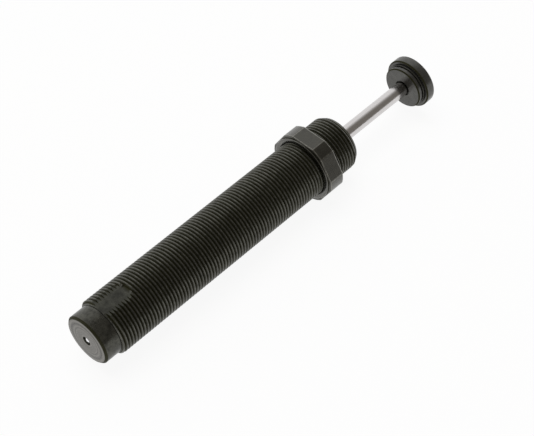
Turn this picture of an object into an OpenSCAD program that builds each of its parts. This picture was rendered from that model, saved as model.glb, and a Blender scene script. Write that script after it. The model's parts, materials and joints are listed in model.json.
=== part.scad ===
// Industrial shock absorber, M24 x 1.5, 40 mm stroke.
// The axis is +X from the closed rear face to the strike button, and +Z is the milled flat's side.

/* [Body] */
// Major diameter of the body's thread
thread_d = 24; // [23:0.5:26]
// Pitch of the body's thread, which sets its depth and the chamfers at its ends
thread_pitch = 1.5; // [1:0.25:1.75]
// Length of the body from its rear face to its open end
body_l = 136; // [134:0.5:150]
// Diameter of the plain collar behind the thread
collar_d = 21.3; // [20.5:0.1:21.8]
// Length of the plain collar
collar_l = 7.7; // [6:0.1:9]
// Inside diameter of the body
body_bore_d = 18; // [18:0.1:18.4]
// Thickness of the closed rear end
rear_wall = 5; // [4.5:0.1:5.5]
// Width of the flat milled through the thread, at its crests
flat_w = 10; // [9:0.5:11]
// Length of that flat
flat_l = 14; // [8:1:20]
// Diameter of the oil filling port
port_d = 3.7; // [3:0.1:4]

/* [Rod and button] */
// Stroke of the rod
stroke = 40; // [30:1:40]
// Diameter of the piston rod
rod_d = 6; // [5.5:0.1:6]
// Diameter of the button's front disc
button_d = 22; // [20:0.5:24]
// Thickness of the button's front disc
button_disc_l = 4.3; // [3:0.1:6]
// Diameter of the button's rear hub
button_hub_d = 18.4; // [17:0.1:19]
// Diameter of the ring between hub and disc
button_ring_d = 19.2; // [19:0.1:20]
// Length of the hub and the ring together
button_hub_l = 3.1; // [2.5:0.1:4]

/* [Locknut] */
// Width across the nut's flats
nut_af = 29; // [28:0.5:30]
// Diameter of the round bar that the nut is cut from
nut_bar_d = 30.9; // [30.5:0.1:32]
// Length of the nut, washer face included
nut_l = 7.8; // [6:0.1:12]
// Diameter of the raised washer face at the nut's rear
nut_washer_d = 28.4; // [27:0.1:28.4]
// Height of that washer face
nut_washer_l = 0.5; // [0.3:0.1:1]
// Where the nut's rear face stands on the body
nut_x = 114.9; // [60:0.1:118]

/* [Hydraulics] */
// Outer diameter of the pressure tube
tube_od = 16; // [15.8:0.1:16.2]
// Inner diameter of the pressure tube
tube_id = 13; // [12.8:0.1:13.2]
// Number of metering orifices in the pressure tube
orifices = 7; // [4:1:9]
// Diameter of a metering orifice
orifice_d = 0.9; // [0.6:0.1:1.2]
// Number of return passages through the piston
passages = 6; // [3:1:8]
// Lift of the check ring behind the piston
check_lift = 0.5; // [0.3:0.1:0.8]

/* [Return spring] */
// Wire diameter of the return spring
wire_d = 1.3; // [1:0.1:1.3]
// Mean diameter of the coil
coil_d = 10.6; // [10.4:0.1:10.8]
// Number of turns, the two closed end turns included
turns = 16; // [12:1:17]

/* [Hidden] */
$fn = 96;
eps = 0.01;
fit_gap = 0.05;  // radial gap of a running fit
seal_gap = 0.02; // radial gap where a ring or seal only just clears its bore
edge = 0.4;      // edge break on turned parts
thread_r = thread_d / 2;
thread_depth = 0.6134 * thread_pitch;
collar_r = collar_d / 2;
bore_r = body_bore_d / 2;
rear_chamfer = thread_depth;
front_chamfer_l = 1.5 * thread_pitch; // the lead chamfer goes half as deep again as the thread
front_chamfer_depth = 1.5 * thread_depth;
collar_chamfer = 0.8;
port_r = port_d / 2;
port_throat_r = port_d / 3;
port_throat_l = 1.6;
port_seat_x = rear_wall - port_throat_l;
rod_r = rod_d / 2;
rod_clearance = 0.3; // radial gap round the rod where nothing guides it
tail_r = 2;          // threaded tail behind the rod's shoulder
tail_bore_r = tail_r + seal_gap;

// The rings under the nut's two ends, where the body's thread is split into a rear and a front stretch
split_w = 0.7;
split_depth = 0.3;
nut_cover = 0.1; // how far each ring stays inside the nut
nut_end = nut_x + nut_l;

// Front end, from the open end of the body back to the piston
snap_l = 1.2;
snap_x = body_l - 3;
snap_groove_depth = 0.9;
gland_l = 16;
gland_x = snap_x - gland_l;
neck_l = 23;
flange_l = 4;
flange_x = gland_x - neck_l - flange_l;
flange_notch_w = 2.4;
spigot_l = 3;
spigot_r = tube_id / 2 - fit_gap;
neck_r = 5.5;
bush_r = 4;
bush_l = 15;
wiper_l = 3.2;
wiper_pocket_r = 5.2;
seal_l = 4;
seal_washer_l = 1;
seal_pocket_r = 5.6;
seal_pocket_l = seal_l + seal_washer_l + 0.5;
seal_x = gland_x + seal_washer_l + 0.3;
o_ring_x = gland_x + 5;
o_ring_d = 1.44;
o_ring_groove_w = 2.1;
o_ring_groove_depth = 1.5;

// Piston stack on the rod's tail, front face first
end_play = 0.2; // gap that is left at either end of the stroke
piston_l = 7;
piston_r = tube_id / 2 - fit_gap;
piston_front = flange_x - spigot_l - end_play;
piston_x = piston_front - piston_l;
ring_groove_x = piston_x + 3.5;
ring_groove_w = 2;
ring_groove_depth = 0.8;
passage_d = 1.6;
passage_circle_r = 4.3;
check_l = 0.8;
check_r = 5.6;
seat_boss_l = check_l + check_lift + 2 * seal_gap;
seat_flange_l = 1.5;
seat_x = piston_x - seat_boss_l - seat_flange_l;
seat_r = 6.1;
seat_boss_r = 2.9;
tail_nut_af = 7;
tail_nut_l = 3.2;
tail_x = seat_x - tail_nut_l - 1;

// Rear end of the pressure tube
plug_flange_l = 2.5;
plug_spigot_l = 3.5;
plug_hole_r = 1;
tube_x = rear_wall + plug_flange_l;
tube_end = flange_x;
spring_x = tube_x + plug_spigot_l;

// Button
button_x = body_l + stroke + end_play;
button_end = button_x + button_hub_l + button_disc_l;
button_socket_l = 5.4;
button_groove_x = button_x + 1.1;
button_groove_w = 0.3;
button_groove_depth = 0.5;
button_recess_r = 3.5;
button_recess_l = 1;

// Each orifice closes as the piston ring passes it. At an even braking force the speed falls with the
// square root of the way that is left, so the orifices' distances from the stroke's end grow with the square.
orifice_end_x = ring_groove_x - stroke - orifice_d;
orifice_span = stroke - 4;

// Turns a profile of [distance along the axis, radius] points about +X.
module turned(points) {
    rotate([0, 90, 0])
        rotate_extrude()
            polygon([for (p = points) [p[1], p[0]]]);
}

// A cylinder along +X from x0 to x1.
module rod_x(r, x0, x1) {
    translate([x0, 0, 0]) rotate([0, 90, 0]) cylinder(r = r, h = x1 - x0);
}

// A tube along +X from x0 to x1.
module tube_x_axis(r_out, r_in, x0, x1) {
    turned([[x0, r_in], [x1, r_in], [x1, r_out], [x0, r_out]]);
}

// A straight hexagonal bar along +X with a flat at the top.
module hex_x(across_flats, x0, x1) {
    translate([x0, 0, 0])
        rotate([0, 90, 0])
            rotate([0, 0, 30])
                cylinder(d = across_flats / cos(30), h = x1 - x0, $fn = 6);
}

// Holes along the axis, evenly spread on a circle.
module ring_of_holes(count, circle_r, d, x0, x1) {
    for (i = [0 : count - 1])
        rotate([360 / count * i, 0, 0])
            translate([0, 0, circle_r]) rod_x(d / 2, x0, x1);
}

// The flat starts at the collar and ends in the round left by the milling cutter.
module milled_flat() {
    floor_z = sqrt(thread_r * thread_r - flat_w * flat_w / 4);
    round_x = collar_l + flat_l - flat_w / 2;
    translate([collar_l - 1, -thread_r, floor_z]) cube([round_x - collar_l + 1, thread_d, thread_r]);
    translate([round_x, 0, floor_z]) cylinder(d = flat_w + edge, h = thread_r);
}

module outer_body() {
    groove_r = thread_r - split_depth;
    rear_split = nut_x + nut_cover;
    front_split = nut_end - nut_cover;
    snap_groove_r = bore_r + snap_groove_depth;
    color([0.13, 0.13, 0.12])
        difference() {
            turned([
                [0, 0], [0, collar_r - collar_chamfer], [collar_chamfer, collar_r], [collar_l, collar_r],
                [collar_l, thread_r - rear_chamfer], [collar_l + rear_chamfer, thread_r],
                [rear_split, thread_r], [rear_split, groove_r],
                [rear_split + split_w, groove_r], [rear_split + split_w, thread_r],
                [front_split - split_w, thread_r], [front_split - split_w, groove_r],
                [front_split, groove_r], [front_split, thread_r],
                [body_l - front_chamfer_l, thread_r], [body_l, thread_r - front_chamfer_depth],
                [body_l, bore_r + edge], [body_l - edge, bore_r],
                [snap_x + snap_l, bore_r], [snap_x + snap_l, snap_groove_r],
                [snap_x, snap_groove_r], [snap_x, bore_r],
                [rear_wall, bore_r], [rear_wall, 0]
            ]);
            milled_flat();
            rod_x(port_r, -eps, port_seat_x);
            rod_x(port_throat_r, 0, rear_wall + eps);
        }
}

// The ball rests on the edge where the port narrows.
module filler_ball() {
    ball_x = port_seat_x - sqrt(port_r * port_r - port_throat_r * port_throat_r);
    color([0.8, 0.8, 0.8])
        translate([ball_x, 0, 0]) sphere(d = port_d);
}

module tube_end_plug() {
    color([0.55, 0.55, 0.56])
        turned([
            [rear_wall, plug_hole_r], [rear_wall, bore_r - fit_gap], [tube_x, bore_r - fit_gap],
            [tube_x, spigot_r], [spring_x - edge, spigot_r], [spring_x, spigot_r - edge],
            [spring_x, plug_hole_r]
        ]);
}

// Four notches in a flange let oil pass along the body's bore.
module oil_notches(x0, x1) {
    notch_floor = tube_od / 2 + edge / 2;
    for (a = [45 : 90 : 315])
        rotate([a, 0, 0])
            translate([x0, -flange_notch_w / 2, notch_floor]) cube([x1 - x0, flange_notch_w, bore_r]);
}

module pressure_tube() {
    color([0.7, 0.7, 0.72])
        difference() {
            tube_x_axis(tube_od / 2, tube_id / 2, tube_x, tube_end);
            for (i = [1 : orifices])
                translate([orifice_end_x + orifice_span * pow(i / orifices, 2), 0, tube_id / 2 - 1])
                    cylinder(d = orifice_d, h = tube_od);
        }
}

module rod_bearing() {
    bush_x = gland_x - bush_l;
    color([0.5, 0.5, 0.5])
        difference() {
            turned([
                [flange_x - spigot_l, rod_r + rod_clearance], [flange_x - spigot_l, spigot_r - edge],
                [flange_x - spigot_l + edge, spigot_r], [flange_x, spigot_r],
                [flange_x, bore_r - fit_gap], [flange_x + flange_l, bore_r - fit_gap],
                [flange_x + flange_l, neck_r], [gland_x, neck_r], [gland_x, bush_r],
                [bush_x, bush_r], [bush_x, rod_r + rod_clearance]
            ]);
            oil_notches(flange_x - eps, flange_x + flange_l + eps);
        }
}

module bearing_bush() {
    color([0.72, 0.55, 0.3])
        turned([
            [gland_x - bush_l, rod_r + fit_gap], [gland_x - edge, rod_r + fit_gap], [gland_x, rod_r + edge],
            [gland_x, bush_r - seal_gap], [gland_x - bush_l, bush_r - seal_gap]
        ]);
}

module accumulator_foam() {
    foam_gap = 0.3;
    foam_x = flange_x + flange_l + foam_gap;
    color([0.2, 0.2, 0.2])
        tube_x_axis(bore_r - foam_gap, neck_r + foam_gap, foam_x, gland_x - foam_gap);
}

module gland_head() {
    groove_r = bore_r - o_ring_groove_depth;
    groove_end = o_ring_x + o_ring_groove_w;
    head_r = bore_r - fit_gap;
    inner_r = rod_r + rod_clearance / 2;
    color([0.6, 0.6, 0.62])
        turned([
            [gland_x, seal_pocket_r], [gland_x, head_r - edge], [gland_x + edge, head_r],
            [o_ring_x, head_r], [o_ring_x, groove_r], [groove_end, groove_r], [groove_end, head_r],
            [snap_x, head_r], [snap_x, wiper_pocket_r],
            [snap_x - wiper_l, wiper_pocket_r], [snap_x - wiper_l, inner_r],
            [gland_x + seal_pocket_l, inner_r], [gland_x + seal_pocket_l, seal_pocket_r]
        ]);
}

module gland_o_ring() {
    color([0.05, 0.05, 0.05])
        translate([o_ring_x + o_ring_groove_w / 2, 0, 0])
            rotate([0, 90, 0])
                rotate_extrude()
                    translate([bore_r - seal_gap - o_ring_d / 2, 0]) circle(d = o_ring_d, $fn = 32);
}

// U-cup: two lips with a groove between them, open towards the oil.
module rod_seal() {
    inner = rod_r + fit_gap;
    outer = seal_pocket_r - fit_gap;
    middle = (inner + outer) / 2;
    lip_taper = 0.3;
    half_mouth = 0.5;
    color([0.1, 0.15, 0.35])
        turned([
            [seal_x, inner], [seal_x + seal_l, inner + lip_taper], [seal_x + seal_l, outer - lip_taper],
            [seal_x, outer], [seal_x, middle + half_mouth], [seal_x + seal_l / 2, middle],
            [seal_x, middle - half_mouth]
        ]);
}

module seal_washer() {
    washer_end = gland_x + seal_washer_l;
    color([0.75, 0.75, 0.75])
        tube_x_axis(seal_pocket_r - fit_gap, rod_r + rod_clearance / 2, gland_x + fit_gap, washer_end);
}

// Wiper with a scraping lip that stands a little out of the gland.
module rod_wiper() {
    x0 = snap_x - wiper_l + fit_gap;
    ring_end = x0 + 2.4;
    lip_x = x0 + 2;
    lip_end = snap_x + 0.8;
    lip_thickness = 0.3;
    inner = rod_r + fit_gap;
    relief_r = inner + 0.6;
    outer = wiper_pocket_r - fit_gap;
    color([0.08, 0.08, 0.08])
        turned([
            [x0, relief_r], [lip_x, relief_r], [lip_end, inner], [lip_end, inner + lip_thickness],
            [ring_end, outer - 0.8], [ring_end, outer], [x0, outer]
        ]);
}

// Internal snap ring: an open ring with two lugs and plier holes.
module retaining_ring() {
    ring_out = bore_r + snap_groove_depth - 2 * fit_gap;
    ring_in = bore_r - 1.1;
    lug_r = 1.5;
    lug_hole_r = 0.6;
    lug_angle = 17;
    mouth_angle = 9;
    mouth_reach = 2 * bore_r;
    x0 = snap_x + fit_gap;
    x1 = snap_x + snap_l - fit_gap;
    color([0.25, 0.25, 0.25])
        difference() {
            union() {
                tube_x_axis(ring_out, ring_in, x0, x1);
                for (a = [-lug_angle, lug_angle])
                    rotate([a, 0, 0]) translate([0, 0, -ring_in]) rod_x(lug_r, x0, x1);
            }
            for (a = [-lug_angle, lug_angle])
                rotate([a, 0, 0]) translate([0, 0, -ring_in]) rod_x(lug_hole_r, x0 - eps, x1 + eps);
            translate([x0 - eps, 0, 0])
                rotate([0, 90, 0])
                    linear_extrude(x1 - x0 + 2 * eps)
                        polygon([
                            [0, 0],
                            [mouth_reach * cos(mouth_angle), mouth_reach * sin(mouth_angle)],
                            [mouth_reach * cos(mouth_angle), -mouth_reach * sin(mouth_angle)]
                        ]);
        }
}

// Return spring, a right-hand coil. A closed turn lies at each end, ground flat where it meets its seat.
module return_spring() {
    steps = 18;
    sides = 8;
    x0 = spring_x + eps;
    x1 = seat_x - eps;
    closed_pitch = wire_d + fit_gap;
    start = x0 + wire_d / 4;
    active_pitch = (x1 - x0 - wire_d / 2 - 2 * closed_pitch) / (turns - 2);
    rings = turns * steps;
    // Place of the wire's centre along the axis after t turns.
    function centre_x(t) =
        t < 1 ? start + closed_pitch * t
        : t > turns - 1 ? x1 - wire_d / 4 - closed_pitch * (turns - t)
        : start + closed_pitch + active_pitch * (t - 1);
    function wire_point(t, a) =
        let (
            r = coil_d / 2 + wire_d / 2 * cos(a),
            x = min(x1, max(x0, centre_x(t) + wire_d / 2 * sin(a)))
        )
        [x, r * cos(360 * t), r * sin(360 * t)];
    points = [
        for (i = [0 : rings], j = [0 : sides - 1])
            wire_point(i / steps, 360 * (j + 0.5) / sides)
    ];
    walls = [
        for (i = [0 : rings - 1], j = [0 : sides - 1])
            let (k = (j + 1) % sides)
            each [
                [i * sides + j, i * sides + k, (i + 1) * sides + k],
                [i * sides + j, (i + 1) * sides + k, (i + 1) * sides + j]
            ]
    ];
    first_end = [for (j = [0 : sides - 1]) sides - 1 - j];
    last_end = [for (j = [0 : sides - 1]) rings * sides + j];
    color([0.45, 0.46, 0.5])
        polyhedron(points = points, faces = concat(walls, [first_end, last_end]));
}

// The nut keeps rounded corners, because it is milled from round bar. A washer face stands out at its rear.
module locknut() {
    bar_r = nut_bar_d / 2;
    washer_end = nut_x + nut_washer_l;
    washer_r = nut_washer_d / 2;
    nut_bore_r = thread_r + fit_gap;
    sink = 0.6;
    corner_break = edge / 2;
    color([0.2, 0.2, 0.2])
        difference() {
            union() {
                intersection() {
                    turned([
                        [washer_end, 0], [washer_end, bar_r - corner_break],
                        [washer_end + corner_break, bar_r],
                        [nut_end - corner_break, bar_r], [nut_end, bar_r - corner_break], [nut_end, 0]
                    ]);
                    hex_x(nut_af, nut_x - eps, nut_end + eps);
                }
                rod_x(washer_r, nut_x, washer_end + eps);
            }
            turned([
                [nut_x - eps, 0], [nut_x - eps, nut_bore_r + sink], [nut_x + sink, nut_bore_r],
                [nut_end - sink, nut_bore_r], [nut_end + eps, nut_bore_r + sink], [nut_end + eps, 0]
            ]);
        }
}

module piston_rod() {
    color([0.85, 0.85, 0.86])
        turned([
            [tail_x, 0], [tail_x, tail_r - edge], [tail_x + edge, tail_r],
            [piston_front, tail_r], [piston_front, rod_r - edge], [piston_front + edge, rod_r],
            [button_x + button_socket_l - edge, rod_r], [button_x + button_socket_l, rod_r - edge],
            [button_x + button_socket_l, 0]
        ]);
}

module piston() {
    groove_r = piston_r - ring_groove_depth;
    groove_end = ring_groove_x + ring_groove_w;
    color([0.6, 0.55, 0.45])
        difference() {
            turned([
                [piston_x, tail_bore_r], [piston_x, piston_r - edge], [piston_x + edge, piston_r],
                [ring_groove_x, piston_r], [ring_groove_x, groove_r],
                [groove_end, groove_r], [groove_end, piston_r],
                [piston_front - edge, piston_r], [piston_front, piston_r - edge], [piston_front, tail_bore_r]
            ]);
            ring_of_holes(passages, passage_circle_r, passage_d, piston_x - eps, piston_front + eps);
        }
}

module spring_seat() {
    color([0.55, 0.55, 0.55])
        turned([
            [seat_x, tail_bore_r], [seat_x, seat_r], [seat_x + seat_flange_l, seat_r],
            [seat_x + seat_flange_l, seat_boss_r], [piston_x, seat_boss_r], [piston_x, tail_bore_r]
        ]);
}

module piston_nut() {
    corner_r = tail_nut_af / 2 / cos(30);
    color([0.65, 0.65, 0.6])
        difference() {
            intersection() {
                hex_x(tail_nut_af, seat_x - tail_nut_l, seat_x);
                turned([
                    [seat_x - tail_nut_l, 0], [seat_x - tail_nut_l, tail_nut_af / 2],
                    [seat_x - tail_nut_l + edge, corner_r], [seat_x, corner_r], [seat_x, 0]
                ]);
            }
            rod_x(tail_bore_r, seat_x - tail_nut_l - eps, seat_x + eps);
        }
}

module button() {
    disc_x = button_x + button_hub_l;
    hub_r = button_hub_d / 2;
    ring_r = button_ring_d / 2;
    disc_r = button_d / 2;
    groove_r = hub_r - button_groove_depth;
    ring_x = button_groove_x + button_groove_w;
    ring_end = disc_x - edge;
    recess_x = button_x + button_recess_l;
    socket_r = rod_r + seal_gap;
    socket_end = button_x + button_socket_l + fit_gap;
    color([0.2, 0.2, 0.19])
        turned([
            [recess_x, socket_r], [recess_x, button_recess_r], [button_x, button_recess_r],
            [button_x, hub_r - edge], [button_x + edge, hub_r],
            [button_groove_x, hub_r], [button_groove_x, groove_r],
            [ring_x, groove_r], [ring_x, ring_r - edge / 2], [ring_x + edge / 2, ring_r],
            [ring_end, ring_r], [ring_end, groove_r], [disc_x, groove_r],
            [disc_x, disc_r - edge], [disc_x + edge, disc_r],
            [button_end - edge, disc_r], [button_end, disc_r - edge],
            [button_end, 0], [socket_end, 0], [socket_end, socket_r]
        ]);
}

// Split ring, with a narrow cut so that it can spring into its groove.
module piston_ring() {
    ring_x = ring_groove_x + fit_gap;
    ring_l = ring_groove_w - 2 * fit_gap;
    ring_cut_w = 0.5;
    ring_in = piston_r - ring_groove_depth + fit_gap;
    color([0.15, 0.15, 0.15])
        difference() {
            tube_x_axis(tube_id / 2 - seal_gap, ring_in, ring_x, ring_x + ring_l);
            translate([ring_x - eps, -ring_cut_w / 2, 0]) cube([ring_l + 2 * eps, ring_cut_w, tube_id]);
        }
}

module check_ring() {
    color([0.75, 0.76, 0.78])
        tube_x_axis(check_r, seat_boss_r + 2 * fit_gap, piston_x - check_l - seal_gap, piston_x - seal_gap);
}

outer_body();
filler_ball();
tube_end_plug();
pressure_tube();
rod_bearing();
bearing_bush();
accumulator_foam();
gland_head();
gland_o_ring();
rod_seal();
seal_washer();
rod_wiper();
retaining_ring();
return_spring();
locknut();
piston_rod();
piston();
spring_seat();
piston_nut();
button();
piston_ring();
check_ring();
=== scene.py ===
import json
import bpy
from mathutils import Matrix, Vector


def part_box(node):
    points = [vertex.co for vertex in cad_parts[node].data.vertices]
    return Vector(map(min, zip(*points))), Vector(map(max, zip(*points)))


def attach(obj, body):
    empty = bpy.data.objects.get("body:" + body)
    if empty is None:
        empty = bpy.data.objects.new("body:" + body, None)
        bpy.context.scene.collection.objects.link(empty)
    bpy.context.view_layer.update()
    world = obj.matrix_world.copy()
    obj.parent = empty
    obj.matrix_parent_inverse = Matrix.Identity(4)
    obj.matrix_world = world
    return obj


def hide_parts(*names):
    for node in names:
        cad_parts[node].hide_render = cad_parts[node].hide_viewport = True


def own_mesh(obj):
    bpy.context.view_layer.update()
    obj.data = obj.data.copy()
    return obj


bl_info = {
    "name": "Industrial shock absorber",
    "version": (1, 0, 0),
    "blender": (4, 5, 0),
    "location": "3D View > Sidebar > Shock absorber",
    "description": "Finishes and turned, threaded and coiled pieces of an industrial shock absorber",
    "category": "Object",
}

import bmesh
import bpy
import numpy as np
from bpy.props import FloatProperty, FloatVectorProperty, PointerProperty
from mathutils import Matrix, Vector

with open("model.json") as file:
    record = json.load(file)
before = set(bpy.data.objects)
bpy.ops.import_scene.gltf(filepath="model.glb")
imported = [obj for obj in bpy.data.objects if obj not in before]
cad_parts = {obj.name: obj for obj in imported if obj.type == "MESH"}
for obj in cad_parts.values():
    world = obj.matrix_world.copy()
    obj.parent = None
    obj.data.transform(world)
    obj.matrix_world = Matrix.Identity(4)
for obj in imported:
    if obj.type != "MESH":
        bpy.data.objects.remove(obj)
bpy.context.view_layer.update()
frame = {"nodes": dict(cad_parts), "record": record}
MM = 0.001


# ---------------------------------------------------------------------------
# Sizes that come from the frame
# ---------------------------------------------------------------------------

def extent(node):
    """Lowest and highest corner of a CAD node as two arrays."""
    low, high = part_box(node)
    return np.array(low), np.array(high)


def named(rows, name):
    """The one of the record's rows that has this name."""
    return next(row for row in rows if row["name"] == name)


BODY_HIGH = extent("outer_body")[1]
NUT_LOW, NUT_HIGH = extent("locknut")
ROD_LOW, ROD_HIGH = extent("piston_rod")
BUTTON_LOW, BUTTON_HIGH = extent("button")
BALL_LOW, BALL_HIGH = extent("filler_ball")
SPRING_LOW, SPRING_HIGH = extent("return_spring")
FOAM_LOW, FOAM_HIGH = extent("accumulator_foam")
SNAP_LOW, SNAP_HIGH = extent("retaining_ring")
CREST_R = named(frame["record"]["mounts"], "front_thread")["dims"]["r_mm"] * MM
TOUCH = MM / 1000      # places closer than this count as the same


class BodySizes(bpy.types.PropertyGroup):
    """Sizes of the threaded body."""

    pitch: FloatProperty(
        name="Thread pitch", description="Advance of the thread in one turn",
        default=1.5 * MM, min=0.5 * MM, max=3 * MM, unit="LENGTH", precision=5)
    thread_phase: FloatProperty(
        name="Thread phase", description="Part of a turn by which the thread is shifted along the body",
        default=0.0, min=0.0, max=1.0)
    collar_l: FloatProperty(
        name="Collar length", description="Length of the plain collar behind the thread",
        default=7.7 * MM, min=4 * MM, max=12 * MM, unit="LENGTH", precision=5)
    collar_r: FloatProperty(
        name="Collar radius", description="Radius of the plain collar",
        default=10.65 * MM, min=9 * MM, max=11 * MM, unit="LENGTH", precision=5)
    flat_w: FloatProperty(
        name="Flat width", description="Width of the milled flat at the thread's crests",
        default=10 * MM, min=4 * MM, max=12 * MM, unit="LENGTH", precision=5)
    flat_l: FloatProperty(
        name="Flat length", description="Length of the milled flat",
        default=14 * MM, min=8 * MM, max=20 * MM, unit="LENGTH", precision=5)


class FinishColours(bpy.types.PropertyGroup):
    """Colours of the outer finishes."""

    black_oxide: FloatVectorProperty(
        name="Black oxide", description="Colour of the blackened body",
        subtype="COLOR", size=3, default=(0.0415, 0.0415, 0.0335), min=0.0, max=1.0)
    # Olive oxide in the thread's roots, also used as painted shade on leaning edges and in the nut's
    # bore.
    groove_oxide: FloatVectorProperty(
        name="Groove oxide", description="Colour in the roots of the thread",
        subtype="COLOR", size=3, default=(0.040, 0.039, 0.017), min=0.0, max=1.0)
    faced_oxide: FloatVectorProperty(
        name="Faced oxide", description="Colour of the turned rear face",
        subtype="COLOR", size=3, default=(0.164, 0.157, 0.143), min=0.0, max=1.0)
    black_nut: FloatVectorProperty(
        name="Black nut", description="Colour of the blackened nut",
        subtype="COLOR", size=3, default=(0.045, 0.043, 0.033), min=0.0, max=1.0)
    black_button: FloatVectorProperty(
        name="Black button", description="Colour of the blackened button",
        subtype="COLOR", size=3, default=(0.088, 0.087, 0.081), min=0.0, max=1.0)
    # Light colour of rubbed edges and crests, which also stands for their painted highlight.
    worn_oxide_and_highlight: FloatVectorProperty(
        name="Worn oxide", description="Colour where the black is rubbed thin on an edge",
        subtype="COLOR", size=3, default=(0.45, 0.44, 0.39), min=0.0, max=1.0)
    chrome: FloatVectorProperty(
        name="Chrome", description="Colour of the polished rod",
        subtype="COLOR", size=3, default=(0.63, 0.61, 0.605), min=0.0, max=1.0)


class StageSizes(bpy.types.PropertyGroup):
    """Where the camera stands, seen from the object."""

    aim: FloatVectorProperty(
        name="Aim", description="Point that the camera looks at",
        subtype="XYZ", size=3, unit="LENGTH", default=(0.08857, -0.00629, -0.00225), precision=5)
    azimuth: FloatProperty(
        name="Azimuth",
        description="Direction in which the camera looks, from +X towards +Y, in degrees",
        default=45.40)
    elevation: FloatProperty(
        name="Elevation", description="Height of the camera above the object, in degrees",
        default=49.80)
    roll: FloatProperty(
        name="Roll", description="Turn of the camera about its line of sight, in degrees",
        default=2.02)
    distance: FloatProperty(
        name="Distance", description="Distance from the aim to the camera",
        default=0.63, min=0.1, unit="LENGTH", precision=4)
    lens: FloatProperty(
        name="Lens", description="Focal length on a 36 mm wide sensor, in millimetres",
        default=109.06, min=20.0)


# ---------------------------------------------------------------------------
# Surfaces as arrays
# ---------------------------------------------------------------------------

def grid_quads(rows, columns, first=0):
    """Quads between the neighbours of a grid whose columns close on themselves, from (i, j) to
    (i+1, j+1)."""
    index = first + np.arange(rows * columns).reshape(rows, columns)
    following = np.roll(index, -1, axis=1)
    return np.stack([index[:-1], index[1:], following[1:], following[:-1]], axis=-1).reshape(-1, 4)


def around_axis(x, radius, angle):
    """Points at distance radius from the X axis, turned by angle from +Z: (x, -r sin a, r cos a)."""
    x, radius, angle = np.broadcast_arrays(x, radius, angle)
    return np.stack([x, -radius * np.sin(angle), radius * np.cos(angle)], axis=-1).reshape(-1, 3)


def even_angles(count):
    """Equal steps round a full circle, starting at the underside."""
    return np.linspace(-np.pi, np.pi, count, endpoint=False)


def rounded_outline(corners, steps=5):
    """Outline through (x, radius, fillet) corners, each rounded by the parabola
    (1-s)^2 A + 2s(1-s) P + s^2 B, where A and B lie a fillet away from corner P.
    Returns the points, how far round each fillet they lie (0 to 1 and back), and how far the
    outline leans there between a face and a side: twice |dx dr| over the squared step."""
    points = np.array([c[:2] for c in corners], float)
    fillet = np.array([c[2] for c in corners], float)[:, None]
    before = np.roll(points, 1, axis=0) - points
    after = np.roll(points, -1, axis=0) - points
    span_before = np.linalg.norm(before, axis=1, keepdims=True)
    span_after = np.linalg.norm(after, axis=1, keepdims=True)
    reach = np.minimum(fillet, 0.49 * np.minimum(span_before, span_after))
    start = points + before / span_before * reach
    end = points + after / span_after * reach
    s = np.linspace(0, 1, steps)[None, :, None]
    curve = (1 - s) ** 2 * start[:, None] + 2 * s * (1 - s) * points[:, None] + s ** 2 * end[:, None]
    bend = np.broadcast_to(np.sin(np.pi * s[..., 0]), curve.shape[:2])
    curve = curve.reshape(-1, 2)
    step = np.roll(curve, -1, axis=0) - np.roll(curve, 1, axis=0)
    lean = 2 * np.abs(step[:, 0] * step[:, 1]) / np.maximum((step ** 2).sum(axis=1), 1e-12)
    return curve, bend.reshape(-1), lean


def make_piece(name, points, quads, attributes=None, sharp=40):
    """Mesh piece from point and quad arrays. Doubles merge, so that seams and poles close, and faces
    turn outwards. Edges sharper than the angle sharp, in degrees, stay sharp."""
    mesh = bpy.data.meshes.new(name)
    mesh.vertices.add(len(points))
    mesh.vertices.foreach_set("co", np.ascontiguousarray(points, np.float32).ravel())
    mesh.loops.add(quads.size)
    mesh.loops.foreach_set("vertex_index", np.ascontiguousarray(quads, np.int32).ravel())
    mesh.polygons.add(len(quads))
    mesh.polygons.foreach_set("loop_start", np.arange(0, quads.size, 4, dtype=np.int32))
    mesh.update(calc_edges=True)
    for key, values in (attributes or {}).items():
        layer = mesh.attributes.new(key, "FLOAT", "POINT")
        layer.data.foreach_set("value", np.ascontiguousarray(values, np.float32).ravel())
    shell = bmesh.new()
    shell.from_mesh(mesh)
    bmesh.ops.remove_doubles(shell, verts=shell.verts, dist=2 * TOUCH)
    bmesh.ops.recalc_face_normals(shell, faces=shell.faces)
    shell.to_mesh(mesh)
    shell.free()
    mesh.polygons.foreach_set("use_smooth", np.ones(len(mesh.polygons), bool))
    mesh.set_sharp_from_angle(angle=np.radians(sharp))
    piece = bpy.data.objects.new(name, mesh)
    bpy.context.scene.collection.objects.link(piece)
    return piece


def turned_piece(name, corners, columns=96, lightening=1.0):
    """Lathe shape: a rounded outline carried round the X axis. Its foremost face counts as faced. The
    last argument weighs the light mark on its rounded edges, rubbed wear with a painted highlight,
    and its leaning edges are marked for painted shade."""
    outline, bend, lean = rounded_outline(corners)
    points = around_axis(outline[:, :1], outline[:, 1:], even_angles(columns)[None])
    faced = outline[:, 0] > outline[:, 0].max() - TOUCH
    return make_piece(name, points, grid_quads(len(outline), columns), {
        "wear_and_highlight": np.repeat(lightening * bend, columns), "groove": np.repeat(lean, columns),
        "faced": np.repeat(faced.astype(float), columns)})


# ---------------------------------------------------------------------------
# Finishes
# ---------------------------------------------------------------------------

def node_group(name, inputs, outputs):
    """Empty shader group with float inputs {name: default} and outputs {name: socket type}."""
    group = bpy.data.node_groups.new(name, "ShaderNodeTree")
    for key, value in inputs.items():
        socket = group.interface.new_socket(key, in_out="INPUT", socket_type="NodeSocketFloat")
        socket.default_value = value
    for key, kind in outputs.items():
        group.interface.new_socket(key, in_out="OUTPUT", socket_type=kind)
    return group, group.nodes.new("NodeGroupInput"), group.nodes.new("NodeGroupOutput")


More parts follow.
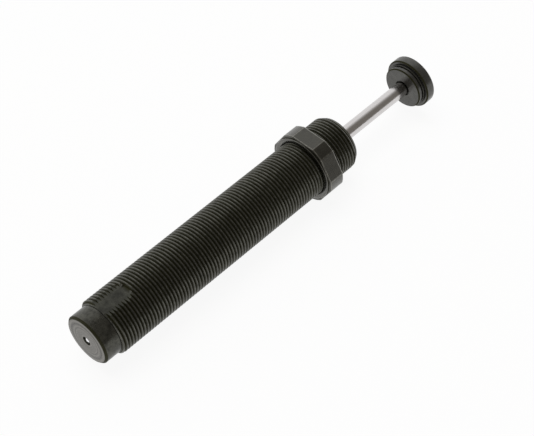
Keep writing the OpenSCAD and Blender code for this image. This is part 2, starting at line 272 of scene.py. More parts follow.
def add(tree, kind, inputs=None, **settings):
    """New node. Inputs are {socket name or number: value, or another node's output}."""
    node = tree.nodes.new(kind)
    for key, value in settings.items():
        setattr(node, key, value)
    for key, value in (inputs or {}).items():
        if isinstance(value, bpy.types.NodeSocket):
            tree.links.new(value, node.inputs[key])
        else:
            node.inputs[key].default_value = value
    return node


def maths(tree, operation, a, b=0.0, clamp=False):
    """Output of one maths node."""
    return add(tree, "ShaderNodeMath", {0: a, 1: b}, operation=operation, use_clamp=clamp).outputs[0]


def build_mottle():
    """Slow cloudy change over a surface, from Low to High."""
    group, given, result = node_group(
        "mottle", {"Scale": 150.0, "Detail": 4.0, "Low": 0.0, "High": 1.0},
        {"Value": "NodeSocketFloat"})
    place = add(group, "ShaderNodeTexCoord").outputs["Object"]
    noise = add(group, "ShaderNodeTexNoise",
                {"Vector": place, "Scale": given.outputs["Scale"], "Detail": given.outputs["Detail"]})
    spread = add(group, "ShaderNodeMapRange",
                 {"Value": noise.outputs["Fac"], "From Min": 0.3, "From Max": 0.7,
                  "To Min": given.outputs["Low"], "To Max": given.outputs["High"]})
    group.links.new(spread.outputs["Result"], result.inputs["Value"])
    return group


def build_turning_marks():
    """Tool marks of a lathe: noise that changes only along the axis and with the radius."""
    group, given, result = node_group("turning_marks", {"Lines": 6000.0}, {"Height": "NodeSocketFloat"})
    place = add(group, "ShaderNodeSeparateXYZ", {0: add(group, "ShaderNodeTexCoord").outputs["Object"]})
    radius = maths(group, "SQRT", maths(group, "ADD", maths(group, "POWER", place.outputs["Y"], 2.0),
                                        maths(group, "POWER", place.outputs["Z"], 2.0)))
    along = maths(group, "MULTIPLY", place.outputs["X"], given.outputs["Lines"])
    across = maths(group, "MULTIPLY", radius, given.outputs["Lines"])
    noise = add(group, "ShaderNodeTexNoise",
                {"Vector": add(group, "ShaderNodeCombineXYZ", {"X": along, "Y": across}).outputs[0],
                 "Scale": 1.0, "Detail": 2.0})
    group.links.new(noise.outputs["Fac"], result.inputs["Height"])
    return group


def build_worn_and_highlit_edges():
    """Rubbed wear and painted highlight on edges: the mesh's own value, broken up by fine noise."""
    group, given, result = node_group(
        "worn_and_highlit_edges", {"Amount": 0.6, "Scale": 900.0}, {"Mask": "NodeSocketFloat"})
    place = add(group, "ShaderNodeTexCoord").outputs["Object"]
    wear_and_highlight = add(group, "ShaderNodeAttribute", attribute_name="wear_and_highlight").outputs["Fac"]
    noise = add(group, "ShaderNodeTexNoise",
                {"Vector": place, "Scale": given.outputs["Scale"], "Detail": 3.0})
    broken = add(group, "ShaderNodeMapRange",
                 {"Value": noise.outputs["Fac"], "From Min": 0.35, "From Max": 0.6,
                  "To Min": 0.35, "To Max": 1.0})
    mask = maths(group, "MULTIPLY", maths(group, "MULTIPLY", wear_and_highlight, broken.outputs["Result"]),
                 given.outputs["Amount"], clamp=True)
    group.links.new(mask, result.inputs["Mask"])
    return group


EFFECTS = {"mottle": build_mottle, "turning_marks": build_turning_marks, "worn_and_highlit_edges": build_worn_and_highlit_edges}


def effect(tree, name, **inputs):
    """Places a shared effect group in a material."""
    group = bpy.data.node_groups.get(name) or EFFECTS[name]()
    return add(tree, "ShaderNodeGroup", inputs, node_tree=group)


# Clouds and grain are counted in features per metre, and lathe marks in lines per metre
METAL_CLOUDS, METAL_GRAIN, FACING_LINES = 420.0, 2600.0, 700.0
MOULDED_CLOUDS = 240.0
USUAL_GRAIN, GROOVE_ROUGHNESS, OIL_ROUGHNESS = 0.15, 0.5, 0.22
METAL_BUMP, MOULDED_BUMP = 0.02 * MM, 0.05 * MM


def new_finish(name):
    """Empty material with its surface shader."""
    finish = bpy.data.materials.new(name)
    finish.use_nodes = True
    tree = finish.node_tree
    tree.nodes.clear()
    shader = add(tree, "ShaderNodeBsdfPrincipled")
    output = add(tree, "ShaderNodeOutputMaterial")
    tree.links.new(shader.outputs["BSDF"], output.inputs["Surface"])
    return finish, tree, shader


def scaled(colour, factor):
    """Colour with alpha, made darker or lighter by a factor."""
    return (*(min(1.0, channel * factor) for channel in tuple(colour)[:3]), 1.0)


def tinted(tree, colour, mask, other):
    """Colour output that turns from one colour or output to another where the mask is 1."""
    return add(tree, "ShaderNodeMix", {0: mask, 6: colour, 7: other}, data_type="RGBA").outputs[2]


def metal_finish(name, colour, worn_and_highlight, roughness, lines=6000.0, mark_depth=0.25, mottling=0.15, wear_and_highlight=0.6,
                 metallic=1.0, grain=USUAL_GRAIN, groove=None, faced=None, facing_depth=0.9, oiled=0.0,
                 grazing=1.0):
    """Machined metal: mottled colour, rubbed edges with a painted highlight, lathe marks and a fine
    grain in roughness and height. Groove is the colour of the thread's roots, also painted as shade on
    leaning edges, and faced that of a turned face, where the mesh marks them, and facing_depth is the
    contrast of that face's rings. Oiled is the weight of a thin coat of oil, and grazing, 1 or less,
    dulls the shine at a glancing angle."""
    finish, tree, shader = new_finish(name)
    cloud = effect(tree, "mottle", Scale=METAL_CLOUDS).outputs["Value"]
    base = tinted(tree, scaled(colour, 1 - mottling), cloud, scaled(colour, 1 + mottling))
    rough_inside = 0.0
    dry = 0.0
    if groove is not None:
        # Roots get olive oxide and leaning edges painted shade where the mesh marks them.
        inside = add(tree, "ShaderNodeAttribute", attribute_name="groove").outputs["Fac"]
        base = tinted(tree, base, inside, scaled(groove, 1.0))
        rough_inside = maths(tree, "MULTIPLY", inside, GROOVE_ROUGHNESS)
        dry = inside
    if faced is not None:
        rings = effect(tree, "turning_marks", Lines=FACING_LINES).outputs["Height"]
        rings = maths(tree, "SUBTRACT", maths(tree, "MULTIPLY", rings, 1.6), 0.3, clamp=True)
        face = tinted(tree, scaled(faced, 1 - facing_depth), rings, scaled(faced, 1 + facing_depth))
        turned = add(tree, "ShaderNodeAttribute", attribute_name="faced").outputs["Fac"]
        base = tinted(tree, base, turned, face)
        dry = maths(tree, "ADD", dry, turned)
    # Light colour on edges and crests: rubbed wear and painted highlight.
    edges = effect(tree, "worn_and_highlit_edges", Amount=wear_and_highlight).outputs["Mask"]
    marks = effect(tree, "turning_marks", Lines=lines).outputs["Height"]
    fine = effect(tree, "mottle", Scale=METAL_GRAIN, Low=-1.0, Detail=2.0).outputs["Value"]
    specks = maths(tree, "MULTIPLY", fine, 0.25 * roughness * grain / USUAL_GRAIN)
    streaks = maths(tree, "ADD", maths(tree, "MULTIPLY", marks, 0.3 * roughness), 0.85 * roughness)
    rough = maths(tree, "ADD", maths(tree, "ADD", specks, streaks), rough_inside, clamp=True)
    height = maths(tree, "ADD", marks, maths(tree, "MULTIPLY", fine, grain))
    bump = add(tree, "ShaderNodeBump",
               {"Height": height, "Strength": mark_depth, "Distance": METAL_BUMP})
    tree.links.new(tinted(tree, base, edges, scaled(worn_and_highlight, 1.0)), shader.inputs["Base Color"])
    tree.links.new(rough, shader.inputs["Roughness"])
    tree.links.new(bump.outputs["Normal"], shader.inputs["Normal"])
    shader.inputs["Metallic"].default_value = metallic
    shader.inputs["Specular Tint"].default_value = (grazing, grazing, grazing, 1)
    if oiled:
        film = maths(tree, "SUBTRACT", oiled, maths(tree, "MULTIPLY", dry, oiled), clamp=True)
        tree.links.new(film, shader.inputs["Coat Weight"])
        shader.inputs["Coat Roughness"].default_value = OIL_ROUGHNESS
    return finish


def moulded_finish(name, colour, roughness, grain_scale=1500.0, grain_depth=0.3, mottling=0.12):
    """Moulded rubber, plastic or foam: mottled colour over a grained, uneven skin."""
    finish, tree, shader = new_finish(name)
    cloud = effect(tree, "mottle", Scale=MOULDED_CLOUDS).outputs["Value"]
    base = tinted(tree, scaled(colour, 1 - mottling), cloud, scaled(colour, 1 + mottling))
    grain = effect(tree, "mottle", Scale=grain_scale, Detail=3.0).outputs["Value"]
    rough = maths(tree, "ADD", maths(tree, "MULTIPLY", grain, 0.2 * roughness), 0.85 * roughness,
                  clamp=True)
    bump = add(tree, "ShaderNodeBump",
               {"Height": grain, "Strength": grain_depth, "Distance": MOULDED_BUMP})
    tree.links.new(base, shader.inputs["Base Color"])
    tree.links.new(rough, shader.inputs["Roughness"])
    tree.links.new(bump.outputs["Normal"], shader.inputs["Normal"])
    return finish


def dress(piece, finish):
    """Gives a piece or a CAD node one finish all over."""
    piece.data.materials.clear()
    piece.data.materials.append(finish)
    return piece


# ---------------------------------------------------------------------------
# Outer body with its thread
# ---------------------------------------------------------------------------

GROOVE_RATIO = 0.5     # depth of the thread's grooves in pitches
CONE_RATIO = 0.6134    # depth of the rear chamfer in pitches, and slope of the front one
FRONT_RATIO = 1.5      # depth of the front chamfer, set against the rear one's
# One pitch of the thread: part of the pitch, and how deep it lies as a part of the thread's depth
THREAD_KNOTS = np.array([
    (0.0, 0.0), (0.25, 0.0), (0.275, 0.06), (0.515, 0.92),
    (0.55, 1.0), (0.70, 1.0), (0.735, 0.92), (0.975, 0.06),
])
RISING = 5             # first knot of the flank that rises again
BORE_R = 9 * MM
REAR_WALL = 5 * MM
SNAP_GROOVE_DEPTH = 0.9 * MM
SNAP_PLAY = 0.05 * MM
COLLAR_CHAMFER = 0.8 * MM
MOUTH_CHAMFER = 0.4 * MM


def thread_angles():
    """Angles round the thread, closer together over the milled flat."""
    over_flat, coarse_steps, fine_steps = np.radians(27), 36, 37
    side = np.linspace(-np.pi, -over_flat, coarse_steps)[:-1]
    return np.concatenate([side, np.linspace(-over_flat, over_flat, fine_steps), -side[:0:-1]])


def flat_radius(x, angle, sizes):
    """Radius of the milled flat: floor / cos a, up to the half circle that the cutter leaves at its
    front end. Beside and beyond it the radius is the crest's."""
    half = sizes.flat_w / 2
    floor_z = np.sqrt(CREST_R ** 2 - half ** 2)
    widest = 0.5    # radians, past either edge of the flat
    beside = np.clip(floor_z * np.tan(np.clip(angle, -widest, widest)), -half, half)
    front = sizes.collar_l + sizes.flat_l - half + np.sqrt(half ** 2 - beside ** 2)
    over = (np.abs(angle) < np.arcsin(half / CREST_R)) & (x < front)
    return np.where(over, floor_z / np.cos(angle), CREST_R)


def thread_radius(x, angle, sizes):
    """Radius of a right-hand thread: its profile at x - pitch * angle / 2 pi, cut by a cone at either
    end and by the milled flat. Also gives how deep the profile lies and where the flat has cut it."""
    depth, cone_depth = GROOVE_RATIO * sizes.pitch, CONE_RATIO * sizes.pitch
    turn = (x / sizes.pitch - angle / (2 * np.pi) - sizes.thread_phase) % 1.0
    below = np.interp(turn, np.append(THREAD_KNOTS[:, 0], 1.0), np.append(THREAD_KNOTS[:, 1], 0.0))
    start_cone = CREST_R - cone_depth + (x - sizes.collar_l)
    end_cone = CREST_R - FRONT_RATIO * cone_depth + CONE_RATIO * (BODY_HIGH[0] - x)
    turned = np.minimum(CREST_R - depth * below, np.minimum(start_cone, end_cone))
    flat = flat_radius(x, angle, sizes)
    return np.minimum(turned, flat), below, (flat < turned + TOUCH) & (flat < CREST_R)


def thread_grid(sizes):
    """Grid whose rows run along the helix x = pitch * (k + a / 2 pi), so that crests and roots are
    clean edges. Where the flat cuts the thread, the crest's edges slide down the flanks to it. Rows
    past either end are drawn back to it and merge there into one ring."""
    angle = thread_angles()
    per_turn = len(THREAD_KNOTS)
    lead_in, spare_turns = 1.5, 3
    first_turn = np.floor(sizes.collar_l / sizes.pitch - sizes.thread_phase - lead_in)
    turns = int(np.ceil((BODY_HIGH[0] - sizes.collar_l) / sizes.pitch)) + spare_turns
    turn = np.repeat(first_turn + np.arange(turns), per_turn)[:, None]
    knot = np.tile(THREAD_KNOTS, (turns, 1))
    helix = sizes.thread_phase + angle[None] / (2 * np.pi)
    cut = CREST_R - flat_radius(sizes.pitch * (turn + knot[:, :1] + helix), angle[None], sizes)
    level = np.maximum(knot[:, 1:], cut / (GROOVE_RATIO * sizes.pitch))
    down, up = THREAD_KNOTS[1:RISING], THREAD_KNOTS[:RISING - 1:-1]
    falling = np.interp(level, down[:, 1], down[:, 0])
    rising = np.interp(level, np.append(0.0, up[:, 1]), np.append(1.0, up[:, 0]))
    number = np.arange(len(knot))[:, None] % per_turn
    place = np.where(number == 0, rising - 1, np.where(number < RISING, falling, rising))
    x = np.clip(sizes.pitch * (turn + place + helix), sizes.collar_l, BODY_HIGH[0])
    radius, below, milled = thread_radius(x, angle[None], sizes)
    index = np.arange(x.size).reshape(x.shape)
    wrapped = index[np.minimum(np.arange(len(index)) + per_turn, len(index) - 1), 0]
    following = np.column_stack([index[:, 1:], wrapped])
    quads = np.stack([index[:-1], index[1:], following[1:], following[:-1]], axis=-1).reshape(-1, 4)
    return around_axis(x, radius, angle[None]), quads, below.ravel(), milled.ravel()


def body_ends(sizes):
    """Outline of what the lathe turned: rear step, collar, rear face and port, and the bore to the
    open end. It is a list of (x, radius, fillet) corners."""
    length = BODY_HIGH[0]
    soft = 0.12 * MM
    port_r = (BALL_HIGH[1] - BALL_LOW[1]) / 2
    duct_r = 2 * port_r / 3
    port_seat = BALL_LOW[0] + port_r + np.sqrt(port_r ** 2 - duct_r ** 2)
    groove_r = BORE_R + SNAP_GROOVE_DEPTH
    snap0 = SNAP_LOW[0] - SNAP_PLAY
    snap1 = SNAP_HIGH[0] + SNAP_PLAY
    return [
        (sizes.collar_l, sizes.collar_r, soft), (COLLAR_CHAMFER, sizes.collar_r, soft),
        (0, sizes.collar_r - COLLAR_CHAMFER, soft),
        (0, port_r + soft, 0.02 * MM), (soft, port_r, 0.02 * MM),
        (port_seat, port_r, 0.0), (port_seat, duct_r, 0.0), (REAR_WALL, duct_r, 0.0),
        (REAR_WALL, BORE_R, 0.0), (snap0, BORE_R, 0.0), (snap0, groove_r, 0.0),
        (snap1, groove_r, 0.0), (snap1, BORE_R, 0.0),
        (length - MOUTH_CHAMFER, BORE_R, 0.05 * MM), (length, BORE_R + MOUTH_CHAMFER, 0.05 * MM),
    ]


def outer_body(sizes):
    """Threaded body in one closed shell: the thread's first and last rings meet the turned ends ring
    to ring. Wear lies on crests, flat and collar, with a painted highlight on the crests, and the
    groove mark tints and roughens the roots and paints shade on leaning edges."""
    # Crests: rubbed wear and painted highlight; edge_shade: painted shade on chamfers and fillets.
    crest_wear_and_highlight, flat_wear, collar_wear, edge_shade = 0.24, 0.02, 0.15, 0.8
    angle = thread_angles()
    thread, quads, below, milled = thread_grid(sizes)
    outline, _, lean = (part[2:-1] for part in rounded_outline(body_ends(sizes), 4))
    start_r = thread_radius(np.full_like(angle, sizes.collar_l), angle, sizes)[0]
    end_r = thread_radius(np.full_like(angle, BODY_HIGH[0]), angle, sizes)[0]
    lathe = np.vstack([
        around_axis(sizes.collar_l, start_r, angle),
        around_axis(outline[:, :1], outline[:, 1:], angle[None]),
        around_axis(BODY_HIGH[0], end_r, angle)])
    lightening = collar_wear * (outline[:, 1] > sizes.collar_r - TOUCH)
    faced = (outline[:, 0] < TOUCH).astype(float)
    lightening, faced, shade = (np.repeat(np.concatenate([[0], values, [0]]), len(angle))
                            for values in (lightening, faced, edge_shade * lean))
    return make_piece(
        "threaded_body", np.vstack([thread, lathe]),
        np.vstack([quads, grid_quads(len(outline) + 2, len(angle), len(thread))]), {
            "wear_and_highlight": np.append(np.where(milled, flat_wear, crest_wear_and_highlight * (1 - below) ** 4), lightening),
            "groove": np.append((1 - (1 - below) ** 2) * ~milled, shade),
            "faced": np.append(np.zeros(len(thread)), faced)})


# ---------------------------------------------------------------------------
# Locknut, button, rod, ball, spring, foam
# ---------------------------------------------------------------------------

def nut_angles(corner):
    """Angles round a hexagon with a flat at the top, closer together at the angle corner, where flats
    turn into rounded corners."""
    half = np.concatenate([
        np.linspace(0, corner - 0.05, 5), np.linspace(corner - 0.035, corner + 0.035, 7),
        np.linspace(corner + 0.05, np.pi / 6, 3)])
    sixth = np.concatenate([half, np.pi / 3 - half[-2:0:-1]])
    return (np.arange(6)[:, None] * np.pi / 3 + sixth[None]).ravel() - np.pi


def locknut(bore_r, washer_r, washer_l):
    """Nut from round bar: radius = the smaller of the bar's and af/2 / cos(a), its corners rounded by
    a soft minimum, with a round washer face at the rear. Each column of the grid is one outline along
    the axis, and each row gives x, radius, wear with a painted edge highlight, and groove, which paints
    shade in the bore and countersinks, at the washer's step and on the front edges."""
    flat_r, bar_r = NUT_HIGH[2], NUT_HIGH[1]
    corner_angle = np.arccos(flat_r / bar_r)
    angle = nut_angles(corner_angle)
    off_flat = (angle + np.pi / 6) % (np.pi / 3) - np.pi / 6
    softness = 0.05 * MM
    side_r = -softness * np.log(np.exp(-(flat_r / np.cos(off_flat) - flat_r) / softness)
                                + np.exp(-(bar_r - flat_r) / softness)) + flat_r
    x0, x1 = NUT_LOW[0], NUT_HIGH[0]
    hex_x = x0 + washer_l
    e = 0.25 * MM       # breadth of the broken edges
    sink = 0.35 * MM    # depth of the countersinks
    bore, mouth, washer = (np.full_like(angle, r) for r in (bore_r, bore_r + sink, washer_r))
    # The third value is rubbed wear with a painted edge highlight, the fourth painted shade.
    rows = [
        (x0 + sink, bore, 0, 0.8), (x0, mouth, 0.1, 0), (x0, washer - e, 0, 0),
        (x0 + 0.3 * e, washer - 0.3 * e, 0.2, 0), (x0 + e, washer, 0, 0), (hex_x, washer, 0, 0.8),
        (hex_x, side_r - 1.1 * e, 0, 0), (hex_x, side_r - e, 0, 0),
        (hex_x + 0.4 * e, side_r - 0.4 * e, 0, 0), (hex_x + 0.9 * e, side_r - 0.1 * e, 0.3, 0),
        (hex_x + 1.2 * e, side_r, 0.7, 0), (hex_x + 1.9 * e, side_r, 0.3, 0),
        (hex_x + 2.6 * e, side_r, 0, 0), (x1 - 2.2 * e, side_r, 0, 0),
        (x1 - 1.2 * e, side_r, 0.5, 0), (x1 - 0.4 * e, side_r - 0.4 * e, 0.5, 0.2),
        (x1, side_r - e, 0, 0.5), (x1, side_r - 1.3 * e, 0, 0), (x1, mouth, 0.1, 0.3),
        (x1 - sink, bore, 0, 1), (x0 + sink, bore, 0, 1),
    ]
    x, radius, wear_and_highlight, groove = (np.array(column) for column in zip(*rows))
    on_side = (radius == side_r).all(axis=1)
    # Painted highlight and rubbed wear along the lines where the flats turn into rounded corners.
    corner_wear_and_highlight = 0.4 * np.exp(-((np.abs(off_flat) - corner_angle) / 0.012) ** 2)
    wear_and_highlight = np.maximum(wear_and_highlight[:, None] * np.ones_like(angle), on_side[:, None] * corner_wear_and_highlight)
    return make_piece("hex_locknut", around_axis(x[:, None], radius, angle[None]),
                      grid_quads(len(rows), len(angle)),
                      {"wear_and_highlight": wear_and_highlight, "groove": np.repeat(groove, len(angle))}, sharp=50)


def strike_button():
    """Turned button: recess, hub, groove, ring, groove and front disc."""
    x0, x1 = BUTTON_LOW[0], BUTTON_HIGH[0]
    groove_x, ring_x, disc_x = (x0 + step * MM for step in (1.8, 2.2, 3.1))
    ring_end = disc_x - 0.3 * MM
    hub_r, ring_r, disc_r = 9.2 * MM, 9.6 * MM, BUTTON_HIGH[1]
    groove_r, shallow_r = 8.7 * MM, ring_r - 0.25 * MM
    recess_x, recess_r = x0 + MM, 3.5 * MM
    socket_x, socket_r = ROD_HIGH[0] + 0.1 * MM, ROD_HIGH[1] + 0.02 * MM
    edge = 0.45 * MM
    soft = 0.12 * MM
    corners = [
        (socket_x, 0, 0), (socket_x, socket_r, 0), (recess_x, socket_r, 0),
        (recess_x, recess_r, 0.1 * soft), (x0, recess_r, soft),
        (x0, hub_r - edge, soft), (x0 + edge, hub_r, soft),
        (groove_x, hub_r, 0.5 * soft), (groove_x, groove_r, 0), (ring_x, groove_r, 0),
        (ring_x, ring_r, soft), (ring_end, ring_r, 0.5 * soft),
        (ring_end, shallow_r, 0), (disc_x, shallow_r, 0),
        (disc_x, disc_r - edge, soft), (disc_x + 1.3 * edge, disc_r, soft),
        (x1, disc_r, 3.5 * soft), (x1, 0, 0),
    ]
    return turned_piece("turned_button", corners, columns=128, lightening=0.08)


def polished_rod():
    """Ground rod with its shoulder and tail."""
    x0, x1 = ROD_LOW[0], ROD_HIGH[0]
    rod_r, tail_r = ROD_HIGH[1], 2 * MM
    shoulder = extent("piston")[1][0]
    soft = 0.3 * MM
    return turned_piece("chromed_piston_rod", [
        (x0, 0, 0), (x0, tail_r, soft), (shoulder, tail_r, 0), (shoulder, rod_r, soft),
        (x1, rod_r, soft), (x1, 0, 0)])


def filler_ball():
    """Sphere: radius r sin t at -r cos t along the axis."""
    rows, columns = 33, 64
    radius = (BALL_HIGH[1] - BALL_LOW[1]) / 2
    middle = (BALL_LOW[0] + BALL_HIGH[0]) / 2
    t = np.linspace(0, np.pi, rows)[:, None]
    points = around_axis(middle - radius * np.cos(t), radius * np.sin(t), even_angles(columns)[None])
    return make_piece("steel_ball", points, grid_quads(rows, columns), {"wear_and_highlight": np.zeros(len(points))})


def return_spring(turns, wire_d):
    """Round wire on the helix (x(t), R cos 2 pi t, R sin 2 pi t). The end turns lie closed and are
    ground flat at the seats."""
    steps, sides = 40, 12
    x0, x1 = SPRING_LOW[0], SPRING_HIGH[0]
    wire_r = wire_d / 2
    coil_r = SPRING_HIGH[1] - wire_r
    closed = wire_d + 0.05 * MM
    sunk = wire_d / 4
    t = np.linspace(0, turns, turns * steps + 1)
    centre = np.interp(t, [0, 1, turns - 1, turns],
                       [x0 + sunk, x0 + sunk + closed, x1 - sunk - closed, x1 - sunk])[:, None]
    side = 2 * np.pi * (np.arange(sides) + 0.5)[None] / sides
    radius = coil_r + wire_r * np.cos(side)
    x = np.clip(centre + wire_r * np.sin(side), x0, x1)
    turn = 2 * np.pi * t[:, None]
    points = np.stack(np.broadcast_arrays(x, radius * np.cos(turn), radius * np.sin(turn)), axis=-1)
    caps = points[[0, -1]].mean(axis=1, keepdims=True).repeat(sides, axis=1)
    points = np.concatenate([caps[:1], points, caps[1:]]).reshape(-1, 3)
    return make_piece("coil_spring", points, grid_quads(len(t) + 2, sides),
                      {"wear_and_highlight": np.zeros(len(points))})


def foam_sleeve():
    """Foam tube with soft edges and a slightly uneven skin: radius - |a sin(5 angle) sin(k x)|."""
    x0, x1 = FOAM_LOW[0], FOAM_HIGH[0]
    outer_r, inner_r = FOAM_HIGH[1] - 0.05 * MM, 5.8 * MM
    inner_soft, outer_soft = 0.5 * MM, 0.8 * MM
    columns, along = 72, np.linspace(0, 1, 24)[1:-1, None]
    outline = rounded_outline([
        (x0, inner_r, inner_soft), (x1, inner_r, inner_soft),
        (x1, outer_r, outer_soft), (x0, outer_r, outer_soft)])[0]
    first, second, third, fourth = outline.reshape(4, -1, 2)
    outline = np.vstack([
        first, first[-1] + along * (second[0] - first[-1]), second, third,
        third[-1] + along * (fourth[0] - third[-1]), fourth, first[:1]])
    angle = even_angles(columns)[None]
    uneven = 0.05 * MM * np.sin(5 * angle) * np.sin(900 * outline[:, :1])
    points = around_axis(outline[:, :1], outline[:, 1:] - np.abs(uneven), angle)
    return make_piece("foam_sleeve", points, grid_quads(len(outline), columns))


# ---------------------------------------------------------------------------
# Stage
# ---------------------------------------------------------------------------

def soft_lamp(name, place, target, size, watts):
    """Square area lamp that faces the target. It lights the floor and stays out of reflections."""
    lamp = bpy.data.lights.new(name, "AREA")
    lamp.shape = "SQUARE"
    lamp.size = size
    lamp.energy = watts
    holder = bpy.data.objects.new(name, lamp)
    holder.location = place
    holder.rotation_euler = (Vector(target) - Vector(place)).to_track_quat("-Z", "Y").to_euler()
    holder.visible_glossy = False
    bpy.context.scene.collection.objects.link(holder)


def seen_rays(tree):
    """1 for rays that look at or mirror the background, 0 for rays that light the object."""
    path = add(tree, "ShaderNodeLightPath")
    mirrored = maths(tree, "MAXIMUM", path.outputs["Is Glossy Ray"],
                     path.outputs["Is Transmission Ray"])
    return maths(tree, "MAXIMUM", path.outputs["Is Camera Ray"], mirrored)


def white_floor():
    """Level floor just under the nut's lowest flat, so that the nut clears it all along its travel.
    Seen or mirrored, it mostly glows white, and otherwise it's lit as pale paper."""
    half, middle, glow_share = 3.0, 0.09, 0.92
    z = float(NUT_LOW[2] - 0.01 * MM)
    mesh = bpy.data.meshes.new("white_floor")
    mesh.from_pydata([(middle - half, -half, z), (middle + half, -half, z),
                      (middle + half, half, z), (middle - half, half, z)], [], [(0, 1, 2, 3)])
    floor = bpy.data.objects.new("white_floor", mesh)
    bpy.context.scene.collection.objects.link(floor)
    finish = bpy.data.materials.new("white_sweep")
    finish.use_nodes = True
    tree = finish.node_tree
    tree.nodes.clear()
    paper = add(tree, "ShaderNodeBsdfDiffuse", {"Color": (0.82, 0.82, 0.82, 1)})
    glow = add(tree, "ShaderNodeEmission", {"Color": (1, 1, 1, 1), "Strength": 1.0})
    mixed = add(tree, "ShaderNodeMixShader",
                {0: maths(tree, "MULTIPLY", seen_rays(tree), glow_share),
                 1: paper.outputs[0], 2: glow.outputs[0]})
    output = add(tree, "ShaderNodeOutputMaterial")
    tree.links.new(mixed.outputs[0], output.inputs["Surface"])
    dress(floor, finish)


def studio_world():
    """White walls and a dim opening above the camera's side: light falls with the angle to the
    opening's middle."""
    opening = tuple(Vector((-0.3, -0.72, 0.63)).normalized())
    white, gloom = (1, 1, 1, 1), (0.21, 0.197, 0.178, 1)
    world = bpy.data.worlds.new("studio")
    bpy.context.scene.world = world
    world.use_nodes = True
    tree = world.node_tree
    tree.nodes.clear()
    direction = add(tree, "ShaderNodeTexCoord").outputs["Generated"]
    towards = add(tree, "ShaderNodeVectorMath", {0: direction, 1: opening},
                  operation="DOT_PRODUCT").outputs["Value"]
    dim = add(tree, "ShaderNodeMapRange", {"Value": towards, "From Min": -0.12, "From Max": 0.52},
              interpolation_type="SMOOTHSTEP").outputs["Result"]
    background = add(tree, "ShaderNodeBackground",
                     {"Color": tinted(tree, white, dim, gloom), "Strength": 1.0})
    output = add(tree, "ShaderNodeOutputWorld")
    tree.links.new(background.outputs[0], output.inputs["Surface"])


def place_camera(sizes):
    """Camera on a sphere round its aim, turned by roll about its line of sight."""
    azimuth, elevation, roll = np.radians([sizes.azimuth, sizes.elevation, sizes.roll])
    forward = Vector((np.cos(elevation) * np.cos(azimuth), np.cos(elevation) * np.sin(azimuth),
                      -np.sin(elevation)))
    level = forward.cross(Vector((0, 0, 1))).normalized()
    turn = Matrix.Rotation(roll, 3, forward)
    right = turn @ level
    up = right.cross(forward)
    lens = bpy.data.cameras.new("camera")
    lens.sensor_width = 36
    lens.lens = sizes.lens
    lens.clip_start = 0.01
    camera = bpy.data.objects.new("camera", lens)
    place = Vector(sizes.aim) - forward * sizes.distance
    turned = Matrix((right, up, -forward)).transposed().to_4x4()
    camera.matrix_world = Matrix.Translation(place) @ turned
    bpy.context.scene.collection.objects.link(camera)
    bpy.context.scene.camera = camera


# ---------------------------------------------------------------------------
# Operators
# ---------------------------------------------------------------------------

class SHOCK_OT_stage(bpy.types.Operator):
    """Camera, white floor, studio surroundings and lamp"""

    bl_idname = "shock.stage"
    bl_label = "Stage"

    def execute(self, context):
        scene = context.scene
        scene.view_settings.view_transform = "Standard"
        place_camera(scene.shock_stage)
        white_floor()
        studio_world()
        soft_lamp("top_softbox", place=(0.1, 0.3, 1.6), target=(0.09, 0, 0), size=1.2, watts=19)
        return {"FINISHED"}


class SHOCK_OT_outer_body(bpy.types.Operator):
    """Blackened body with its thread, milled flat, collar and port"""

    bl_idname = "shock.outer_body"
    bl_label = "Outer body"

    def execute(self, context):
        colours = context.scene.shock_colours
        finish = metal_finish("black_oxide_body", colours.black_oxide, colours.worn_oxide_and_highlight, 0.28,
                              mottling=0.45, metallic=0.85, groove=colours.groove_oxide,
                              faced=colours.faced_oxide, oiled=0.15, grazing=0.8)
        piece = dress(outer_body(context.scene.shock_body), finish)
        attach(piece, "housing")
        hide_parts("outer_body")
        return {"FINISHED"}


class SHOCK_OT_locknut(bpy.types.Operator):
    """Blackened hex locknut cut from round bar"""

    bl_idname = "shock.locknut"
    bl_label = "Locknut"

    def execute(self, context):
        colours = context.scene.shock_colours
        # At full weight, the wear mark paints the nut's edge highlights.
        finish = metal_finish("black_oxide_nut", colours.black_nut, colours.worn_oxide_and_highlight, 0.3,
                              lines=9000.0, mark_depth=0.12, wear_and_highlight=1.0, metallic=0.85,
                              groove=colours.groove_oxide, oiled=0.8)
        piece = locknut(bore_r=CREST_R + 0.05 * MM, washer_r=14.2 * MM, washer_l=0.5 * MM)
        dress(piece, finish)
        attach(piece, "locknut")
        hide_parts("locknut")
        return {"FINISHED"}


class SHOCK_OT_rod_and_button(bpy.types.Operator):
    """Chromed rod with its strike button"""

    bl_idname = "shock.rod_and_button"
    bl_label = "Rod and button"

    def execute(self, context):
        colours = context.scene.shock_colours
        # The button's rounded edges get a painted highlight, and its leaning edges painted shade in the
        # groove colour.
        black = metal_finish("black_oxide_button", colours.black_button, colours.worn_oxide_and_highlight, 0.28,
                             lines=5000.0, mark_depth=0.25, wear_and_highlight=0.5, metallic=0.85,
                             groove=colours.groove_oxide, faced=scaled(colours.black_button, 0.95),
                             facing_depth=0.3, oiled=0.2, grazing=0.8)
        chrome = metal_finish("hard_chrome", colours.chrome, colours.chrome, 0.2, lines=9000.0,
                              mark_depth=0.03, mottling=0.03, wear_and_highlight=0.0, grain=0.04)
        button = dress(strike_button(), black)
        rod = dress(polished_rod(), chrome)
        for piece, node, slot in ((button, "button", "black_nut"), (rod, "piston_rod", "chromed_rod")):
            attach(piece, "rod")
            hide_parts(node)
        return {"FINISHED"}


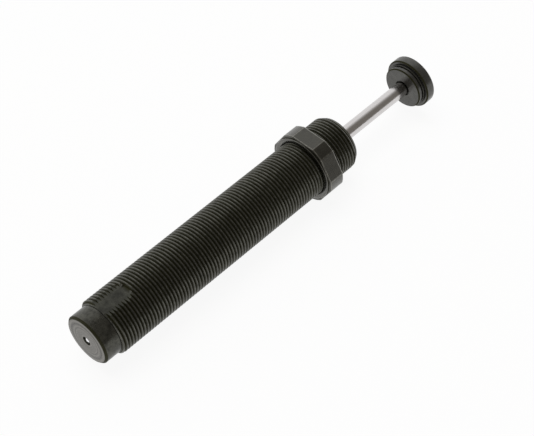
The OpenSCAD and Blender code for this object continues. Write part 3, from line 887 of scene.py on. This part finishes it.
class SHOCK_OT_filler_ball(bpy.types.Operator):
    """Steel ball in the oil filling port"""

    bl_idname = "shock.filler_ball"
    bl_label = "Filler ball"

    def execute(self, context):
        steel = (0.85, 0.85, 0.86)
        finish = metal_finish("bearing_ball", steel, steel, 0.08, lines=2000.0, mark_depth=0.0,
                              mottling=0.02, wear_and_highlight=0.0, grain=0.04)
        piece = dress(filler_ball(), finish)
        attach(piece, "housing")
        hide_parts("filler_ball")
        return {"FINISHED"}


class SHOCK_OT_return_spring(bpy.types.Operator):
    """Coil spring inside the body, built at one length"""

    bl_idname = "shock.return_spring"
    bl_label = "Return spring"

    def execute(self, context):
        finish = metal_finish("spring_wire", (0.34, 0.35, 0.38), (0.5, 0.5, 0.5), 0.35, lines=3000.0)
        piece = dress(return_spring(turns=16, wire_d=1.3 * MM), finish)
        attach(piece, "housing")
        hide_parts("return_spring")
        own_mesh(piece)
        return {"FINISHED"}


class SHOCK_OT_inner_parts(bpy.types.Operator):
    """Finishes of the hydraulic parts inside the body"""

    bl_idname = "shock.inner_parts"
    bl_label = "Inner parts"

    def execute(self, context):
        nodes = frame["nodes"]
        steel = metal_finish("turned_steel", (0.56, 0.56, 0.57), (0.7, 0.7, 0.7), 0.3, lines=5000.0)
        dark = metal_finish("hardened_steel", (0.3, 0.3, 0.32), (0.5, 0.5, 0.5), 0.35, lines=4000.0)
        bronze = metal_finish("bush_bronze", (0.62, 0.43, 0.2), (0.75, 0.6, 0.35), 0.35, lines=4000.0)
        sintered = metal_finish("sintered_iron", (0.36, 0.34, 0.3), (0.5, 0.48, 0.44), 0.5,
                                lines=1500.0, grain=0.6)
        finishes = {
            "tube_end_plug": steel, "pressure_tube": steel, "rod_bearing": steel, "gland_head": steel,
            "seal_washer": steel, "spring_seat": steel, "piston_nut": steel,
            "retaining_ring": dark, "check_ring": dark, "bearing_bush": bronze, "piston": sintered,
            "gland_o_ring": moulded_finish("nitrile_o_ring", (0.02, 0.02, 0.02), 0.45),
            "rod_wiper": moulded_finish("nitrile_wiper", (0.025, 0.025, 0.025), 0.5),
            "rod_seal": moulded_finish("polyurethane_seal", (0.05, 0.1, 0.3), 0.35),
            "piston_ring": moulded_finish("filled_ptfe", (0.07, 0.07, 0.07), 0.5),
        }
        for node, finish in finishes.items():
            dress(nodes[node], finish)
        foam = foam_sleeve()
        dress(foam, moulded_finish("closed_cell_foam", (0.04, 0.04, 0.042), 0.9, grain_scale=2200.0,
                                   grain_depth=0.9, mottling=0.3))
        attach(foam, "housing")
        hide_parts("accumulator_foam")
        return {"FINISHED"}


class SHOCK_PT_panel(bpy.types.Panel):
    """Lists the steps and the sizes and colours that they use"""

    bl_idname = "SHOCK_PT_panel"
    bl_label = "Shock absorber"
    bl_space_type = "VIEW_3D"
    bl_region_type = "UI"
    bl_category = "Shock absorber"

    def draw(self, context):
        scene = context.scene
        for group in (scene.shock_body, scene.shock_colours, scene.shock_stage):
            column = self.layout.column(align=True)
            for key in group.__annotations__:
                column.prop(group, key)
        for step in STEPS:
            self.layout.operator(step.bl_idname)


STEPS = (SHOCK_OT_stage, SHOCK_OT_outer_body, SHOCK_OT_locknut, SHOCK_OT_rod_and_button,
         SHOCK_OT_filler_ball, SHOCK_OT_return_spring, SHOCK_OT_inner_parts)
CLASSES = (BodySizes, FinishColours, StageSizes, *STEPS, SHOCK_PT_panel)


def register():
    for cls in CLASSES:
        bpy.utils.register_class(cls)
    bpy.types.Scene.shock_body = PointerProperty(type=BodySizes)
    bpy.types.Scene.shock_colours = PointerProperty(type=FinishColours)
    bpy.types.Scene.shock_stage = PointerProperty(type=StageSizes)


def unregister():
    del bpy.types.Scene.shock_stage
    del bpy.types.Scene.shock_colours
    del bpy.types.Scene.shock_body
    for cls in reversed(CLASSES):
        bpy.utils.unregister_class(cls)


def main():
    register()
    bpy.ops.shock.stage()
    bpy.ops.shock.outer_body()
    bpy.ops.shock.locknut()
    bpy.ops.shock.rod_and_button()
    bpy.ops.shock.filler_ball()
    bpy.ops.shock.return_spring()
    bpy.ops.shock.inner_parts()


if __name__ == "__main__":
    main()
